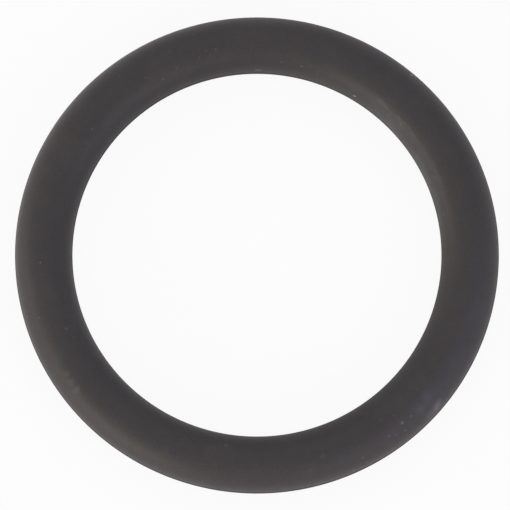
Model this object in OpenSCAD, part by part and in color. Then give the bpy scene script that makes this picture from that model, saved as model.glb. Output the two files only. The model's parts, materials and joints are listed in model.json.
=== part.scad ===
// A moulded rubber o-ring: one solid ring of round section.
// The two halves of its mould meet on the ring's middle plane, so a low, trimmed
// parting line runs round the inside and the outside of the ring.
// Sizes are in millimetres. +Z is the ring's axis, and the origin is the ring's
// centre on its middle plane.

/* [Ring] */
// Inside diameter of the relaxed ring, measured on the round section
inside_d = 17.12; // [8:0.01:60]
// Diameter of the round section
section_d = 2.62; // [1.5:0.01:7]

/* [Parting line] */
// How far the crest of the parting line stands proud of the round section
parting_h = 0.02; // [0.01:0.01:0.1]
// Width of that crest along the ring's axis
parting_w = 0.12; // [0.06:0.01:0.3]

/* [Hidden] */

section_r = section_d / 2;
// Radius of the circle on which the centre of the section runs
ring_r = inside_d / 2 + section_r;
// How deep the foot of the parting line is sunk into the section
foot_share = 0.15;
foot_depth = section_r * foot_share;
rubber_black = "#424041";
$fn = 180;

// The ring without its parting line
module round_ring() {
    rotate_extrude()
        translate([ring_r, 0])
            circle(r = section_r);
}

// A low ridge round the ring, with a flat crest and flanks that run down at 45
// degrees into the round surface. It is on the outside of the ring where side
// is 1, and on the inside where side is -1.
module parting_line(side) {
    crest_x = side * (section_r + parting_h);
    foot_x = side * (section_r - foot_depth);
    crest_y = parting_w / 2;
    foot_y = crest_y + parting_h + foot_depth;
    rotate_extrude()
        translate([ring_r, 0])
            polygon([
                [foot_x, -foot_y],
                [crest_x, -crest_y],
                [crest_x, crest_y],
                [foot_x, foot_y]
            ]);
}

module o_ring() {
    color(rubber_black) {
        round_ring();
        for (side = [-1, 1])
            parting_line(side);
    }
}

o_ring();
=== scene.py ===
import json
import math

import bmesh
import bpy
from mathutils import Matrix, Vector


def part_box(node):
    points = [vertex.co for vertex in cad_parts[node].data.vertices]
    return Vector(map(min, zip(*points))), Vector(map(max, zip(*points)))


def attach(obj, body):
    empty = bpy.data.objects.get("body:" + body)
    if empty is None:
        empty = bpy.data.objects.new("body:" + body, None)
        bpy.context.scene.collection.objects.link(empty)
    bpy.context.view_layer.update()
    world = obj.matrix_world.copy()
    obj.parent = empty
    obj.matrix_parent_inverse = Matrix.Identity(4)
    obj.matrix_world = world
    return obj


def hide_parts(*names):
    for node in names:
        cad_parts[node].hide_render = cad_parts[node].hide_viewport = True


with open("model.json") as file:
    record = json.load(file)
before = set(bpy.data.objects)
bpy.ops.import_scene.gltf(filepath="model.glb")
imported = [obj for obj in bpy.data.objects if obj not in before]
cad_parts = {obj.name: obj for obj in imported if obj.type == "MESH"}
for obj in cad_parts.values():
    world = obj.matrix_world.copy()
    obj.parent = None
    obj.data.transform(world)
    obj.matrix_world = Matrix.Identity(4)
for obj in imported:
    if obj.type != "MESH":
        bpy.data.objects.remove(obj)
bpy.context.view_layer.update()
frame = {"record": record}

mm = 0.001
plainWhite = (1, 1, 1, 1)
noiseMiddle = 0.5        # a noise's value goes from 0 to 1 about this
scene = bpy.context.scene
scene.view_settings.view_transform = "Standard"

# the ring's real sizes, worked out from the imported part
seats = {mount["name"]: mount["dims"] for mount in frame["record"]["mounts"]}
ringLow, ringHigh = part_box("o_ring")
crestInR = seats["inner_seat"]["r_mm"] * mm      # inner crest of the parting line
crestOutR = seats["outer_seat"]["r_mm"] * mm     # outer crest of the parting line
crestW = seats["outer_seat"]["length_mm"] * mm
sectionR = ringHigh.z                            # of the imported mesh, a few thousandths of a mm too small
ringR = (crestInR + crestOutR) / 2               # the circle that the section runs on
crestH = (crestOutR - crestInR) / 2 - sectionR


# camera: almost straight above, through a long lens
cameraSetup = {
    "tilt": 10.4,            # degrees off the ring's axis, towards -Y
    "lens": 1000.0,          # mm
    "sensor": 36.0,          # mm
    "pixelsPerMm": 21.6,     # scale of the ring in the picture
    "pictureSide": 510,      # pixels
    "aimX": -0.09,           # mm, the picture's centre beside the ring's centre
    "aimY": -0.01,
    "clipNearer": 100,       # the near limit of view is so many times nearer than the ring
    "clipFarther": 10,       # and the far limit so many times farther
}


def buildCamera(setup):
    shownWidth = setup["pictureSide"] / setup["pixelsPerMm"] * mm
    distance = shownWidth * setup["lens"] / setup["sensor"]
    tilt = math.radians(setup["tilt"])
    back = Vector((0, -math.sin(tilt), math.cos(tilt)))
    up = Vector((0, math.cos(tilt), math.sin(tilt)))
    aim = Vector((setup["aimX"] * mm, 0, 0)) + up * setup["aimY"] * mm
    data = bpy.data.cameras.new("camera")
    data.lens = setup["lens"]
    data.sensor_width = setup["sensor"]
    data.clip_start = distance / setup["clipNearer"]
    data.clip_end = distance * setup["clipFarther"]
    camera = bpy.data.objects.new("camera", data)
    camera.location = aim + back * distance
    camera.rotation_euler = (tilt, 0, 0)
    scene.collection.objects.link(camera)
    scene.camera = camera


# one output of a shader node. Operators on it add Math nodes
class Wire:
    def __init__(self, finish, socket):
        self.finish = finish
        self.socket = socket

    def maths(self, operation, *values):
        return self.finish.node("Math", {"operation": operation}, dict(enumerate(values)))

    def __add__(self, other):
        return self.maths("ADD", self, other)

    def __radd__(self, other):
        return self.maths("ADD", other, self)

    def __sub__(self, other):
        return self.maths("SUBTRACT", self, other)

    def __rsub__(self, other):
        return self.maths("SUBTRACT", other, self)

    def __mul__(self, other):
        return self.maths("MULTIPLY", self, other)

    def __truediv__(self, other):
        return self.maths("DIVIDE", self, other)

    def __pow__(self, other):
        return self.maths("POWER", self, other)

    def __abs__(self):
        return self.maths("ABSOLUTE", self)

    # the larger of the two
    def over(self, other):
        return self.maths("MAXIMUM", self, other)

    # a share from 0 to 1, squeezed to go from low to 1
    def atLeast(self, low):
        return self * (1 - low) + low

    # goes smoothly from 0 at low to 1 at high. With low above high it falls
    def rise(self, low, high):
        return self.finish.node("MapRange", {"interpolation_type": "SMOOTHSTEP"}, {
            "Value": self, "From Min": low, "From Max": high,
        })

    # the same for an angle, with limits in degrees
    def turnRise(self, low, high):
        return self.rise(math.radians(low), math.radians(high))

    # 1 from low to high and 0 outside, with soft ends, for an angle and with limits in degrees
    def turnBetween(self, low, high, soft):
        low, high, soft = math.radians(low), math.radians(high), math.radians(soft)
        return self.rise(low - soft, low + soft) * self.rise(high + soft, high - soft)

    # another output of the same node
    def other(self, name):
        return Wire(self.finish, self.socket.node.outputs[name])


# a node tree that is filled one node at a time
class Finish:
    def __init__(self, tree):
        self.tree = tree
        tree.nodes.clear()

    # any node, from its type, its settings and what its sockets are given
    def node(self, kind, settings=None, given=None, output=0):
        made = self.tree.nodes.new("ShaderNode" + kind)
        for name, value in (settings or {}).items():
            setattr(made, name, value)
        for name, value in (given or {}).items():
            if isinstance(value, Wire):
                self.tree.links.new(value.socket, made.inputs[name])
            else:
                made.inputs[name].default_value = value
        return Wire(self, made.outputs[output] if made.outputs else None)

    # colour under, covered by colour over where the share is 1. A Mix node has its share on socket 0,
    # its two colours on sockets 6 and 7, and gives its colour on output 2
    def cover(self, share, under, over):
        return self.node("Mix", {"data_type": "RGBA"}, {0: share, 6: under, 7: over}, output=2)


ringLook = {
    "turnParts": 8,          # the ring is spun as an eighth, which is then repeated
    "partSteps": 96,         # steps of each eighth
    "roundSteps": 26,        # steps of each quarter of the round section
    "cornerSoft": 0.012,     # mm, how far the crest's corners are rounded
    "cornerSteps": 2,
    "cornerShape": 0.5,      # a round corner
    "mirrorWeld": 1000,      # points are joined when nearer than the section's radius over this
    "ringWeld": 10000,
    "uvStrips": 3,           # the UV map has the ring's surface as strips, each a part of the turn
    "uvMargin": 0.01,        # free share at each edge of a strip
    "rollStart": 0.25,       # turns from the section's bottom, where the strips begin, to its outside
}


# the quarter of the section between the crest's middle and the top, as a line of edges. The crest's
# flank falls at 45 degrees, so out and up add up to the same all along it
def quarterSection(bm, look):
    reach = sectionR + crestH + crestW / 2
    footUp = (reach - math.sqrt(2 * sectionR**2 - reach**2)) / 2
    footOut = reach - footUp
    footAngle = math.atan2(footUp, footOut)
    line = [
        bmesh.ops.create_vert(bm, co=(ringR + out, 0, up))["vert"][0]
        for out, up in ((sectionR + crestH, 0), (sectionR + crestH, crestW / 2), (footOut, footUp))
    ]
    for start, end in zip(line, line[1:]):
        bm.edges.new((start, end))
    bmesh.ops.spin(
        bm, geom=[line[-1]], cent=(ringR, 0, 0), axis=(0, -1, 0), dvec=(0, 0, 0),
        angle=math.pi / 2 - footAngle, steps=look["roundSteps"], use_duplicate=False,
    )
    bmesh.ops.bevel(
        bm, geom=[line[1]], offset=look["cornerSoft"] * mm, offset_type="OFFSET",
        affect="VERTICES", segments=look["cornerSteps"], profile=look["cornerShape"], material=-1,
    )


# mirrors everything in bm across a plane through the section's centre
def mirrorSection(bm, look, axis):
    centre = Matrix.Translation((ringR, 0, 0))
    bmesh.ops.mirror(
        bm, geom=bm.verts[:] + bm.edges[:], matrix=centre.inverted(),
        merge_dist=sectionR / look["mirrorWeld"], axis=axis,
    )


# turn round the ring's axis and roll round its section, both from 0 to 1, roll from the bottom
def turnAndRoll(point, look):
    turn = math.atan2(point.y, point.x) / math.tau
    roll = math.atan2(point.z, math.hypot(point.x, point.y) - ringR) / math.tau + look["rollStart"]
    return turn % 1, roll % 1


def unrollRing(bm, look):
    layer = bm.loops.layers.uv.new("OFBake")
    strips = look["uvStrips"]
    margin = look["uvMargin"]
    for face in bm.faces:
        middleTurn, middleRoll = turnAndRoll(face.calc_center_median(), look)
        strip = int(middleTurn * strips)
        for loop in face.loops:
            turn, roll = turnAndRoll(loop.vert.co, look)
            along = (turn + round(middleTurn - turn)) * strips - strip
            around = roll + round(middleRoll - roll)
            across = margin + around * (1 - 2 * margin)
            loop[layer].uv = (margin + along * (1 - 2 * margin), (strip + across) / strips)


def buildRing(look):
    bm = bmesh.new()
    quarterSection(bm, look)
    mirrorSection(bm, look, "X")
    mirrorSection(bm, look, "Z")
    print("section points:", len(bm.verts))
    partTurn = math.tau / look["turnParts"]
    around = {"cent": (0, 0, 0), "axis": (0, 0, 1), "dvec": (0, 0, 0)}
    bmesh.ops.spin(
        bm, geom=bm.verts[:] + bm.edges[:], angle=partTurn, steps=look["partSteps"],
        use_duplicate=False, **around,
    )
    bmesh.ops.spin(
        bm, geom=bm.verts[:] + bm.edges[:] + bm.faces[:], angle=math.tau - partTurn,
        steps=look["turnParts"] - 1, use_duplicate=True, **around,
    )
    bmesh.ops.remove_doubles(bm, verts=bm.verts, dist=sectionR / look["ringWeld"])
    bmesh.ops.recalc_face_normals(bm, faces=bm.faces)
    for face in bm.faces:
        face.smooth = True
    unrollRing(bm, look)
    mesh = bpy.data.meshes.new("ring")
    bm.to_mesh(mesh)
    bm.free()
    ring = bpy.data.objects.new("ring", mesh)
    scene.collection.objects.link(ring)
    print("ring:", len(mesh.vertices), "points,", len(mesh.polygons), "faces")
    return ring


# where a point of the ring's surface is, in mm and radians, told from the material's Object coordinates
class RingPlace:
    def __init__(self, finish):
        self.finish = finish
        metres = finish.node("TexCoord", output="Object")
        self.spot = finish.node("VectorMath", {"operation": "SCALE"}, {"Vector": metres, "Scale": 1 / mm})
        x = finish.node("SeparateXYZ", {}, {"Vector": self.spot})
        y = x.other("Y")
        self.height = x.other("Z")
        reach = (x * x + y * y) ** 0.5
        # unit direction from the ring's axis to the point
        self.wayX = x / reach
        self.wayY = y / reach
        self.turn = y.maths("ARCTAN2", y, x)
        # round the section: 0 at the outside and a quarter turn at the top
        self.roll = self.height.maths("ARCTAN2", self.height, reach - ringR / mm)

    # coordinates in which one unit is length mm along the ring and width mm round the section
    def ribbon(self, length, width):
        along = ringR / mm / length
        around = sectionR / mm / width
        return self.finish.node("CombineXYZ", {}, {
            "X": self.wayX * along, "Y": self.wayY * along, "Z": self.roll * around,
        })

    # distance in mm from a point
    def distance(self, point):
        return self.finish.node(
            "VectorMath", {"operation": "DISTANCE"}, {0: self.spot, 1: point}, output="Value",
        )

    # a noise with its waves along a ribbon, or else the same all ways
    def noise(self, kind):
        vector = self.ribbon(*kind["ribbon"]) if "ribbon" in kind else self.spot
        return self.finish.node("TexNoise", {}, {
            "Vector": vector, "Scale": kind.get("scale", 1.0), "Detail": kind["detail"],
            "Roughness": kind.get("roughness", 0.5),
        })

    # the same as patches, from 0 to 1
    def patches(self, kind):
        return self.noise(kind).rise(*kind["limits"])

    # the same as swings to both sides of 0
    def swings(self, kind):
        return (self.noise(kind) - noiseMiddle) * kind["swing"]


# a point of the surface in mm, from the turn in degrees and the place across the band that
# the camera sees: -1 is the inner edge, 1 the outer edge. Its tilt shifts both turn and roll a little
def seenPoint(turn, across):
    tilt = math.radians(cameraSetup["tilt"])
    turn = math.radians(turn)
    roll = math.acos(across) + tilt * math.sin(turn)
    out = ringR + sectionR * math.cos(roll)
    up = sectionR * math.sin(roll)
    turn += tilt**2 / 4 * math.sin(2 * turn) - tilt * up / out * math.cos(turn)
    return Vector((out * math.cos(turn), out * math.sin(turn), up)) / mm


# the rubber. A noise has its scale in waves per mm, or has as ribbon the length and width of its waves in
# mm. Limits are where a share sets in and where it is full, and a swing goes half to each side
rubberLook = {
    "black": (0.0312, 0.0292, 0.0298, 1),        # bare rubber
    "warmBlack": (0.0375, 0.0288, 0.0275, 1),
    "coolBlack": (0.0285, 0.0282, 0.0350, 1),
    "greenBlack": (0.0285, 0.0335, 0.0290, 1),
    "warmPatches": {"scale": 3.6, "detail": 4.0, "roughness": 0.75, "limits": (0.36, 0.64)},
    "greenPatches": {"scale": 5.2, "detail": 3.0, "roughness": 0.7, "limits": (0.50, 0.66)},
    "greenShare": 0.7,
    "tintShare": 0.75,                           # how far the mottling goes to those tints
    "grain": {"scale": 14.0, "detail": 2.0, "roughness": 0.6, "swing": 0.92},
    "grainDepth": 0.004,                         # mm, of that fine moulded grain
    "clouds": {"scale": 1.6, "detail": 3.0, "swing": 0.15},
    "roughness": 0.57,
    "roughClouds": {"scale": 2.0, "detail": 3.0, "swing": 0.12},
    "markRoughness": 0.25,                       # more of it where a mark covers the rubber
    "ior": 1.53,
    "sheen": 0.075,                              # dusty edge glow, seen where the surface turns away
    "sheenRoughness": 0.45,
    "crestLimits": (0.085, 0.055),               # mm from the middle plane, of the parting line's finish
    "crestTorn": {"ribbon": (0.12, 0.5), "detail": 3.0, "roughness": 0.7, "limits": (0.35, 0.75)},
    "crestGrey": (0.11, 0.108, 0.11, 1),
    "crestGreyShare": 0.16,
    "crestDepth": 0.012,                         # mm, of the torn relief
    "crestRoughness": 0.12,
}

# what lies on the rubber or has rubbed it, and the reflections and light painted on it. Turns go round the
# ring's axis, and rolls go round the section from 0 at the outside over 90 at the top to 180 at the inside,
# in degrees.
# Two numbers are where a mark sets in and where it is full, and three are its start, its end and how soft
# both are
markLook = {
    "streaks": {"ribbon": (0.9, 0.055), "detail": 3.0, "limits": (0.42, 0.72)},
    "patches": {"scale": 1.1, "detail": 3.0, "limits": (0.35, 0.65)},
    "leastShare": 0.5,                           # of a mark, between its streaks or patches

    "rubAndReflectionGrey": (0.158, 0.170, 0.180, 1),      # where something has rubbed along the ring, and a painted reflection of lit floor on the inner flank
    "rubAndReflectionStrength": 0.44,
    "rubAndReflectionRoll": (120, 131),                       # the edge towards the top, which wanders
    "rubAndReflectionWaves": {"ribbon": (1.4, 6.0), "detail": 1.0, "swing": 0.28},      # radians
    "rubAndReflectionRipples": {"ribbon": (0.30, 0.20), "detail": 3.0, "swing": 0.14},
    "innerFade": (200, 172),                     # it fades a little before the parting line, at 180
    "rubAndReflectionTurn": (8, 54, 7),
    "strongTurn": (20, 50, 8),
    "weakShare": 0.55,                           # of the strength, outside that turn
    "deepPaintedLightRoll": (138, 164),                      # over this the strength grows, as painted light where the inner rim is dimly lit
    "shallowShare": 0.7,                         # from this
    "deepPaintedLightMore": 0.6,                             # by this

    "rimStrength": 0.30,                         # of a streaky line along the rub's edge
    "rimRoll": (125, 132, 3),
    "rimTurn": (37, 53, 2),

    "faintLines": {"ribbon": (2.6, 0.035), "detail": 2.0, "limits": (0.60, 0.80)},
    "faintFields": {"ribbon": (5.0, 1.2), "detail": 2.0, "limits": (0.52, 0.70)},
    "faintStrength": 0.05,

    "filmAndReflectionGrey": (0.11, 0.108, 0.11, 1),          # the pale film that rubber sweats out, and the colour of a painted reflection on the inner flank
    "film": {"scale": 0.45, "detail": 4.0, "roughness": 0.6, "limits": (0.45, 0.80)},
    "filmStrength": 0.10,
    "innerPaintedReflectionRoll": (138, 160),                      # painted reflection: the inner flank lighter at these turns
    "innerPaintedReflectionTurn": (0, 98, 12),
    "innerPaintedReflectionStrength": 0.14,

    "coolReflectionViolet": (0.072, 0.070, 0.098, 1),      # a painted cool reflection on the outer flank at the lower right
    "coolReflectionStart": (-59, -41),                     # turns
    "coolReflectionEnd": (20, -22),
    "coolReflectionRoll": (36, 80, 18),
    "coolReflectionStrength": 0.24,

    "dustPale": (0.37, 0.38, 0.41, 1),
    "grainCells": 1.9,                           # cells per mm, each with a grain of dust or none
    "grainLimits": (0.12, 0.02),                 # in cells from a grain's middle
    "grainChance": (0.80, 0.95),                 # a cell's random number from which it has one
    "grainStrength": 0.28,
    "dustyTurn": (-66, -34, 9),                  # more dust at the lower right
    "dustyRoll": (25, 95, 15),
    "dustyMore": 0.5,                            # added to the cells' numbers there

    # single marks on the top, each as turn, place across the band, size in mm and strength
    "spotSpread": 1.6,                           # sizes from a mark's middle to its end
    "dustStrength": 0.25,
    "dust": [
        (12.1, -0.785, 0.05, 0.6), (38.5, 0.77, 0.04, 0.25), (42.3, -0.62, 0.05, 0.75),
        (49.3, 0.925, 0.07, 2.2), (64.3, 0.55, 0.04, 0.2), (67.8, -0.61, 0.04, 0.4),
        (71.8, -0.66, 0.04, 0.3), (74.3, -0.51, 0.04, 0.3), (76.7, -0.57, 0.05, 0.7),
        (82.6, -0.54, 0.045, 0.5), (87.5, 0.82, 0.045, 0.7), (97.0, 0.74, 0.04, 0.3),
        (101.3, 0.0, 0.05, 0.4), (102.2, 0.88, 0.05, 0.35), (103.1, -0.13, 0.04, 0.2),
        (104.1, 0.0, 0.05, 0.25), (104.4, 0.24, 0.04, 0.2), (106.1, 0.70, 0.045, 0.25),
        (106.2, -0.15, 0.04, 0.4), (112.5, -0.18, 0.04, 0.2), (113.3, -0.24, 0.04, 0.35),
        (113.3, 0.37, 0.04, 0.35), (116.8, 0.66, 0.04, 0.4), (118.1, -0.39, 0.05, 0.6),
        (122.2, -0.06, 0.04, 0.3), (142.7, -0.16, 0.05, 0.45), (146.3, -0.21, 0.045, 0.3),
        (148.3, -0.445, 0.045, 0.3), (157.7, 0.76, 0.045, 0.3), (195.2, 0.87, 0.07, 0.5),
        (199.8, 0.43, 0.05, 0.25), (201.2, -0.31, 0.06, 0.5), (204.3, -0.42, 0.05, 0.25),
        (210.5, 0.81, 0.045, 0.2), (216.6, 0.61, 0.05, 0.3), (244.7, 0.84, 0.065, 0.4),
        (256.5, 0.81, 0.05, 0.3), (260.8, -0.625, 0.08, 0.35), (294.2, 0.89, 0.065, 0.8),
        (297.5, 0.63, 0.065, 0.5), (298.0, 0.81, 0.055, 0.35), (306.0, 0.45, 0.075, 0.35),
        (306.4, 0.68, 0.05, 0.25), (307.8, 0.56, 0.065, 0.25), (307.0, -0.18, 0.055, 0.25),
        (310.1, 0.63, 0.055, 0.6), (310.3, -0.04, 0.065, 0.2), (310.8, 0.36, 0.08, 0.8),
        (311.7, 0.38, 0.055, 0.15), (313.7, 0.39, 0.065, 0.45), (320.0, -0.10, 0.06, 0.25),
    ],
    "ragged": {"scale": 9.0, "detail": 2.0, "swing": 0.16},      # mm, the outline of the larger marks
    "smudgePale": (0.34, 0.39, 0.43, 1),
    "smudgeStrength": 0.14,
    "smudges": [
        (212.0, 0.41, 0.17, 0.35), (214.4, 0.46, 0.20, 0.40), (216.9, 0.45, 0.18, 0.55),
        (288.1, 0.04, 0.12, 0.35), (284.0, 0.41, 0.11, 0.25), (316.7, 0.42, 0.24, 0.35),
        (320.3, 0.31, 0.28, 0.30),
    ],
    "lilacPale": (0.40, 0.375, 0.46, 1),         # one smear that has a colour of its own
    "lilacStrength": 0.24,
    "lilac": [
        (317.3, 0.82, 0.24, 0.30), (318.4, 0.83, 0.24, 0.40), (319.4, 0.84, 0.22, 0.90),
        (320.1, 0.81, 0.23, 0.90), (320.9, 0.78, 0.20, 0.60),
    ],

    # fibres, each a part of a circle of the given radius. Centre and middle are turn and place across the
    # band. Radius, half width and half length are in mm
    "lintPale": (0.60, 0.61, 0.62, 1),
    "lintStrength": 0.8,
    "fibreFull": 0.3,                            # share of the half width over which a fibre is full
    "fibreFullLength": 0.7,                      # and of its half length
    "fibres": [
        {
            "centre": (89.7, -0.918), "middle": (89.7, -0.885), "radius": 0.14,
            "halfWidth": 0.035, "halfLength": 0.15, "strength": 0.3,
        },
        {
            "centre": (61.0, -0.2), "middle": (58.6, -0.83), "radius": 1.10,
            "halfWidth": 0.027, "halfLength": 0.11, "strength": 1.0,
        },
    ],
}


def oneFibre(place, look, fibre):
    width = fibre["halfWidth"]
    length = fibre["halfLength"]
    off = abs(place.distance(seenPoint(*fibre["centre"])) - fibre["radius"])
    along = place.distance(seenPoint(*fibre["middle"]))
    shape = off.rise(width, width * look["fibreFull"]) * along.rise(length, length * look["fibreFullLength"])
    return shape * fibre["strength"]


# soft round spots at the given marks, the strongest of them where they meet
def spots(place, marks, spread, ragged):
    cover = None
    for turn, across, size, strength in marks:
        spot = (place.distance(seenPoint(turn, across)) + ragged).rise(size * spread, 0) * strength
        cover = spot if cover is None else cover.over(spot)
    return cover


# everything that lies on the rubber or has rubbed it, and the reflections and light painted on it: (share of
# the surface, colour) pairs
def rubberMarks(place, look):
    streaks = place.patches(look["streaks"])
    patches = place.patches(look["patches"]).atLeast(look["leastShare"])

    # a long rub on the inner flank, with a clear edge towards the top. Part of its paleness is a painted
    # reflection of lit floor, and it grows towards the inner rim as painted light
    wandering = place.roll + (place.swings(look["rubAndReflectionWaves"]) + place.swings(look["rubAndReflectionRipples"]))
    edge = wandering.turnRise(*look["rubAndReflectionRoll"])
    fade = place.roll.turnRise(*look["innerFade"])
    long = place.turn.turnBetween(*look["rubAndReflectionTurn"])
    strong = place.turn.turnBetween(*look["strongTurn"]).atLeast(look["weakShare"])
    # painted light: the band grows stronger towards the inner rim, where the light is dim
    deepPaintedLight = place.roll.turnRise(*look["deepPaintedLightRoll"]) * look["deepPaintedLightMore"] + look["shallowShare"]
    rubAndReflection = edge * fade * long * strong * deepPaintedLight * streaks.atLeast(look["leastShare"]) * patches
    rim = wandering.turnBetween(*look["rimRoll"]) * place.turn.turnBetween(*look["rimTurn"]) * streaks
    rubAndReflection = rubAndReflection * look["rubAndReflectionStrength"] + rim * look["rimStrength"]

    # faint rubs elsewhere, underneath too
    lines = place.patches(look["faintLines"])
    fields = place.patches(look["faintFields"])
    rubAndReflection = rubAndReflection + lines * fields * look["faintStrength"]

    film = place.patches(look["film"]) * look["filmStrength"]
    # painted reflection on the inner flank, in the film's grey. From here film holds both the film and this
    # painted reflection
    innerPaintedReflection = place.roll.turnRise(*look["innerPaintedReflectionRoll"]) * fade
    film = film + innerPaintedReflection * place.turn.turnBetween(*look["innerPaintedReflectionTurn"]) * look["innerPaintedReflectionStrength"]
    # painted cool reflection, in patches, on the outer flank at the lower right
    coolReflection = place.turn.turnRise(*look["coolReflectionStart"]) * place.turn.turnRise(*look["coolReflectionEnd"])
    coolReflection = coolReflection * place.roll.turnBetween(*look["coolReflectionRoll"]) * patches * look["coolReflectionStrength"]

    # sparse dust over the whole ring, and more of it at the lower right
    cells = place.finish.node(
        "TexVoronoi", {}, {"Vector": place.spot, "Scale": look["grainCells"]}, output="Distance",
    )
    chance = place.finish.node("SeparateColor", {}, {0: cells.other("Color")})
    dusty = place.turn.turnBetween(*look["dustyTurn"])
    dusty = dusty * place.roll.turnBetween(*look["dustyRoll"]) * look["dustyMore"]
    grains = cells.rise(*look["grainLimits"]) * (chance + dusty).rise(*look["grainChance"])
    grains = grains * chance.other("Green") * look["grainStrength"]

    ragged = place.swings(look["ragged"])
    dust = spots(place, look["dust"], look["spotSpread"], 0)
    smudges = spots(place, look["smudges"], look["spotSpread"], ragged)
    lilac = spots(place, look["lilac"], look["spotSpread"], ragged)
    hook, thread = (oneFibre(place, look, fibre) for fibre in look["fibres"])
    return [
        (film, look["filmAndReflectionGrey"]),
        (coolReflection, look["coolReflectionViolet"]),
        (rubAndReflection, look["rubAndReflectionGrey"]),
        (smudges * look["smudgeStrength"], look["smudgePale"]),
        (lilac * look["lilacStrength"], look["lilacPale"]),
        (grains.over(dust * look["dustStrength"]), look["dustPale"]),
        (hook.over(thread) * look["lintStrength"], look["lintPale"]),
    ]


def blackRubber(look, marks):
    material = bpy.data.materials.new("blackRubber")
    material.use_nodes = True
    finish = Finish(material.node_tree)
    place = RingPlace(finish)

    # mottled black: warm, cool and greenish by turns, with a fine moulded grain
    grain = place.noise(look["grain"])
    colour = finish.cover(place.patches(look["warmPatches"]), look["coolBlack"], look["warmBlack"])
    greens = place.patches(look["greenPatches"]) * look["greenShare"]
    colour = finish.cover(greens, colour, look["greenBlack"])
    colour = finish.cover(look["tintShare"], look["black"], colour)
    shade = (grain - noiseMiddle) * look["grain"]["swing"] + place.swings(look["clouds"]) + 1
    colour = finish.node("VectorMath", {"operation": "SCALE"}, {"Vector": colour, "Scale": shade})

    relief = grain * look["grainDepth"]
    rough = place.swings(look["roughClouds"]) + look["roughness"]
    for share, over in rubberMarks(place, marks):
        colour = finish.cover(share, colour, over)
        rough = rough + share * look["markRoughness"]

    # the parting line was trimmed, so it is duller and a little torn
    crest = abs(place.height).rise(*look["crestLimits"])
    torn = place.noise(look["crestTorn"])
    grey = crest * torn.rise(*look["crestTorn"]["limits"]) * look["crestGreyShare"]
    colour = finish.cover(grey, colour, look["crestGrey"])
    relief = relief + crest * torn * look["crestDepth"]
    rough = rough + crest * look["crestRoughness"]

    bump = finish.node("Bump", {}, {"Height": relief, "Distance": mm, "Strength": 1.0})
    shader = finish.node("BsdfPrincipled", {}, {
        "Base Color": colour, "Roughness": rough, "IOR": look["ior"], "Normal": bump,
        "Sheen Weight": look["sheen"], "Sheen Roughness": look["sheenRoughness"],
    })
    finish.node("OutputMaterial", {}, {"Surface": shader})
    return material


# stage: a white floor under the ring, and soft light mostly from the lower left
stageSetup = {
    "floorSide": 3.0,        # m
    "floorWhite": (0.92, 0.92, 0.92, 1),
    "mirrorWhite": (1.0, 0.93, 0.955, 1),        # the floor's white as the rubber mirrors it
    "shadowShare": 0.08,     # how much of the floor's own shade the picture shows
    "holeShade": 0.88,       # and how much of it the rubber mirrors, in the ring's hole
    "openShade": 0.85,       # the same outside the ring, on its dull side. It fades to none opposite
    "dullSide": 35,          # degrees round the ring's axis
    "shadePatchGrey": (0.40, 0.40, 0.40, 1),          # painted shade: a dark patch of floor in the hole, which only the rubber's reflections show
    "shadePatchSide": 321,        # degrees round the ring's axis
    "shadePatchFrom": 4.2,        # mm from the ring's axis, where the patch sets in
    "patchFull": 6.2,        # mm, where it is full
    "skyStrength": 0.59,
    "skyColour": (0.98, 0.96, 1.0, 1),
    "lampAway": 0.7,         # m
    # round lamps: turn round the ring's axis and rise over the floor in degrees, width in m, power in W
    "lamps": {
        "keyLamp": {"turn": 225, "rise": 13, "width": 0.3, "power": 1.60, "colour": (1.0, 0.88, 0.70)},
        "leftLamp": {"turn": 180, "rise": 13, "width": 0.3, "power": 0.65, "colour": (1.0, 0.88, 0.77)},
        "frontLamp": {"turn": 315, "rise": 30, "width": 0.5, "power": 0.97, "colour": (0.94, 0.90, 1.0)},
        "backLamp": {"turn": 90, "rise": 55, "width": 0.5, "power": 0.35, "colour": (1.0, 0.97, 0.80)},
    },
}


# how far a point of the floor lies from the ring's axis towards a side
def towards(finish, spot, side):
    way = (math.cos(math.radians(side)), math.sin(math.radians(side)), 0)
    return finish.node("VectorMath", {"operation": "DOT_PRODUCT"}, {0: spot, 1: way}, output="Value")


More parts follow.
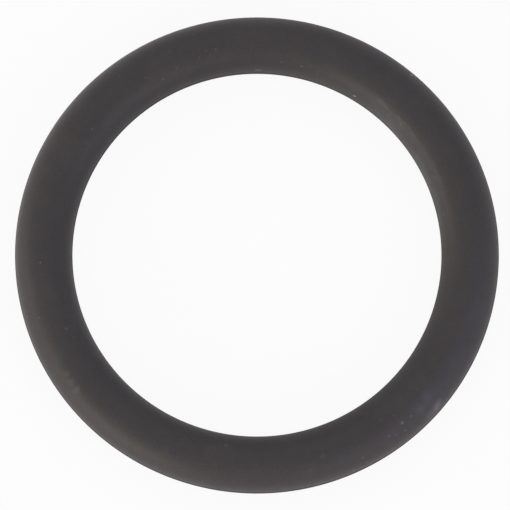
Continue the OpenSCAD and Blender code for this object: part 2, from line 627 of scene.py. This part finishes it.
# the camera sees a glowing white with a little shadow. The rubber mirrors more of the floor's shade, and
# from below the floor is clear
def paleFloor(setup):
    material = bpy.data.materials.new("paleFloor")
    material.use_nodes = True
    finish = Finish(material.node_tree)
    seen = finish.node("LightPath", output="Is Camera Ray")
    glossy = finish.node("LightPath", output="Is Glossy Ray")
    through = finish.node("LightPath", output="Is Transmission Ray")
    spot = finish.node("TexCoord", output="Object")
    away = finish.node("VectorMath", {"operation": "LENGTH"}, {"Vector": spot}, output="Value")
    outside = away.rise(ringR - sectionR, ringR + sectionR)

    # painted shade on the floor in the hole, seen only in the rubber's reflection, which darkens its inner
    # rim there
    patch = towards(finish, spot, setup["shadePatchSide"]).rise(setup["shadePatchFrom"] * mm, setup["patchFull"] * mm)
    ground = finish.cover(patch * (1 - outside) * glossy, setup["floorWhite"], setup["shadePatchGrey"])
    card = finish.node("BsdfDiffuse", {}, {"Color": ground})
    tint = finish.cover(glossy, plainWhite, setup["mirrorWhite"])
    white = finish.node("Emission", {}, {"Color": tint, "Strength": 1.0})

    dull = towards(finish, spot, setup["dullSide"]).rise(0, ringR + sectionR)
    shade = setup["holeShade"] + outside * (dull * setup["openShade"] - setup["holeShade"])
    plain = (seen + through) * (1 - setup["shadowShare"]) + glossy * (1 - shade)
    lit = finish.node("MixShader", {}, {0: plain, 1: card, 2: white})
    behind = finish.node("NewGeometry", output="Backfacing")
    clear = finish.node("BsdfTransparent")
    surface = finish.node("MixShader", {}, {0: behind, 1: lit, 2: clear})
    finish.node("OutputMaterial", {}, {"Surface": surface})
    return material


def buildFloor(setup):
    bm = bmesh.new()
    bmesh.ops.create_grid(bm, x_segments=1, y_segments=1, size=setup["floorSide"] / 2)
    bmesh.ops.translate(bm, vec=(0, 0, ringLow.z), verts=bm.verts)
    mesh = bpy.data.meshes.new("floor")
    bm.to_mesh(mesh)
    bm.free()
    floor = bpy.data.objects.new("floor", mesh)
    scene.collection.objects.link(floor)
    floor.data.materials.append(paleFloor(setup))


def buildLamps(setup):
    for name, lamp in setup["lamps"].items():
        data = bpy.data.lights.new(name, "AREA")
        data.shape = "DISK"
        data.size = lamp["width"]
        data.energy = lamp["power"]
        data.color = lamp["colour"]
        turn = math.radians(lamp["turn"])
        rise = math.radians(lamp["rise"])
        way = Vector((math.cos(turn) * math.cos(rise), math.sin(turn) * math.cos(rise), math.sin(rise)))
        light = bpy.data.objects.new(name, data)
        light.location = way * setup["lampAway"]
        light.rotation_euler = way.to_track_quat("Z", "Y").to_euler()
        scene.collection.objects.link(light)


# the camera sees the sky as plain white, and it lights the ring with less
def buildSky(setup):
    world = bpy.data.worlds.new("sky")
    scene.world = world
    world.use_nodes = True
    finish = Finish(world.node_tree)
    direct = finish.node("LightPath", output="Is Camera Ray")
    tint = finish.cover(direct, setup["skyColour"], plainWhite)
    strength = direct.atLeast(setup["skyStrength"])
    sky = finish.node("Background", {}, {"Color": tint, "Strength": strength})
    finish.node("OutputWorld", {}, {"Surface": sky})


buildCamera(cameraSetup)
ring = buildRing(ringLook)
ring.data.materials.append(blackRubber(rubberLook, markLook))
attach(ring, "root")
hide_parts("o_ring")
buildFloor(stageSetup)
buildLamps(stageSetup)
buildSky(stageSetup)
print("stage is set")
